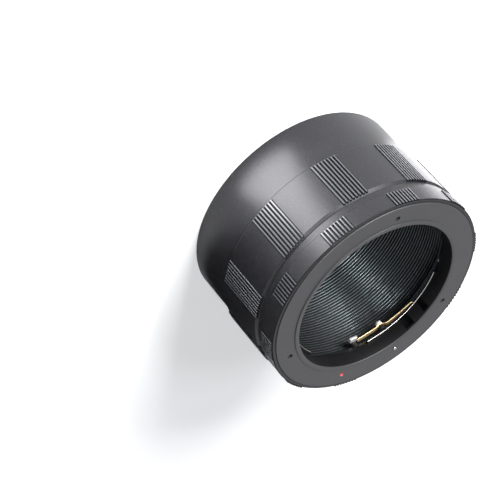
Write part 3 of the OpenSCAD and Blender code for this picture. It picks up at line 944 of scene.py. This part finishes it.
def ear(degrees, r, low, circle=LEAF_R, bridge_low=KEEPER_Z):
    """A round ear with a bridge back to the ring, both just under the sleeve."""
    post = rod("post", r, low, LUG_Z - 0.02, (circle, 0), bevel=0.08)
    bridge = block("bridge", (circle, -r, bridge_low), (25.6, r, LUG_Z - 0.03))
    made = join("ear", [post, bridge])
    turn_piece(made, math.radians(degrees))
    return made


keeper = join("keeper", [lathe("keeper", KEEPER_SECTION),
                         *[ear(a, 0.85, POST_Z) for a in SPRING_ANGLES],
                         ear(STOP_ANGLE, 0.9, STOP_Z - 0.6, 25.1, STOP_Z - 0.5)])
finish(keeper, "ring", "keeper_black", "keeper_ring")

# %% [markdown]
# ## Leaf springs, their screws and the stop
#
# Three brass strips press the lens against the lugs. Each is held by a screw from below, lies
# flat to one side and is cranked up beside the screw on the other, from where it rises gently to
# the underside of the lug. The strip is spun as a flat arc first, and its stations are then
# lifted, because a strip that already rises can't be spun. The stop is a small square head.

# %% Springs
LEAF_T = 0.25
LEAF_LOW = POST_Z - LEAF_T
LEAF_HALF = 0.65
LEAF_NICK = 0.05
LEAF_LONG = 27.0  # degrees from the screw to each end
LEAF_SHORT = 18.5
LEAF_ROOM = LUG_Z - LEAF_T - LEAF_LOW
TIP = 1.6  # degrees over which an end is rounded


def leaf_lift(a):
    """Rise of the strip above its seat, in millimetres, at an angle in degrees from its screw."""
    if a < 0:
        return 0.25 * (max(0.0, -a - 6) / 12.5) ** 2
    crank = min(1.0, max(0.0, (a - 1.5) / 3.5))
    rise = max(0.0, (a - 5) / (LEAF_LONG - 5))
    return LEAF_ROOM * (0.48 * crank * crank * (3 - 2 * crank) + 0.22 * rise + 0.3 * rise * rise)


def leaf(name, degrees):
    """A strip with bevelled edges and rounded ends, lifted along its length."""
    edge = LEAF_HALF - LEAF_NICK
    sides = ((-LEAF_HALF, LEAF_NICK), (-edge, 0), (edge, 0), (LEAF_HALF, LEAF_NICK),
             (LEAF_HALF, LEAF_T - LEAF_NICK), (edge, LEAF_T), (-edge, LEAF_T),
             (-LEAF_HALF, LEAF_T - LEAF_NICK))
    section = [(LEAF_R + x, LEAF_LOW + z) for x, z in sides]
    piece = lathe(name, section, 60, math.radians(LEAF_LONG + LEAF_SHORT), -math.radians(LEAF_SHORT))
    for vertex in piece.data.vertices:
        a = math.degrees(math.atan2(vertex.co.y, vertex.co.x))
        r = math.hypot(vertex.co.x, vertex.co.y) / MM
        tip = max(0.0, (a - LEAF_LONG + TIP) / TIP, (-a - LEAF_SHORT + TIP) / TIP)
        r = LEAF_R + (r - LEAF_R) * math.sqrt(max(0.0, 1 - 0.8 * tip * tip))
        vertex.co.x, vertex.co.y = (c * MM for c in polar(r, a))
        vertex.co.z += leaf_lift(a) * MM
    turn_piece(piece, math.radians(degrees))
    return piece


def hanging_screw(name, r, top, height, spot, degrees):
    """A cheese-head screw seen from its back: its head hangs below what it holds."""
    low = top - height
    screw = rod(name, r, low, top, spot)
    for level in (low, top):
        select_points(screw, lambda co: abs(co.z - level * MM) < SAME_PLACE)
        bpy.ops.mesh.bevel(offset=0.1 * MM, segments=2)
        bpy.ops.object.mode_set(mode="OBJECT")
    return slotted(screw, r, low - 0.5, low + 0.28, 0.28, spot, degrees)


for i, angle in enumerate(SPRING_ANGLES, 1):
    finish(leaf(f"brass_leaf_{i}", angle), "ring", "spring_brass", f"leaf_spring_{i}")
    finish(hanging_screw(f"leaf_screw_{i}", 0.95, LEAF_LOW, 0.8, polar(23.45, angle), 35 + 40 * i),
           "ring", "screw_steel", f"spring_screw_{i}")
    finish(hanging_screw(f"ring_screw_{i}", 0.55, 33.5, 0.4, polar(25.7, angle + 60), 20 + 55 * i),
           "ring", "screw_steel", f"keeper_screw_{i}")
stop = rounded(block("stop_head", (22.85, -1.15, STOP_Z - 0.7), (24.4, 1.15, STOP_Z)), 0.07)
turn_piece(stop, math.radians(STOP_ANGLE))
finish(stop, "ring", "screw_steel", "stop_screw")

# %% [markdown]
# ## The lens lock
#
# The photograph shows only the pin. Behind the face a small carrier holds it, a coil spring
# pushes the carrier up, and a ribbed button on the far side pulls it down. The button is a block
# with rounded edges, and its grooves are cut with boxes that stand on their edge. The coil stays
# the solid of the CAD model, because the frame squeezes that one when the button moves.

# %% Lens lock
carrier = rounded(block("carrier", (26.75, -1.5, 35.4), (31.3, 1.5, 37.0)), 0.15)
turn_piece(carrier, LOCK)
finish(carrier, "release", "spring_brass", "pin_carrier")

button = rounded(block("button", (31.75, -4.2, 34.7), (33.25, 4.2, 37.7)), 0.4)
grooves = []
for z in (35.4, 36.2, 37.0):
    groove = block("groove", (-0.25, -5, -0.25), (0.25, 5, 0.25))
    groove.rotation_euler.y = math.pi / 4
    groove.location = (33.3 * MM, 0, z * MM)
    bpy.ops.object.transform_apply(location=True, rotation=True)
    grooves.append(groove)
button = join("button", [cut(button, grooves), block("stem", (31.3, -1.5, 35.4), (32.0, 1.5, 37.0))])
turn_piece(button, LOCK)
finish(button, "release", "slider_black", "release_slider")
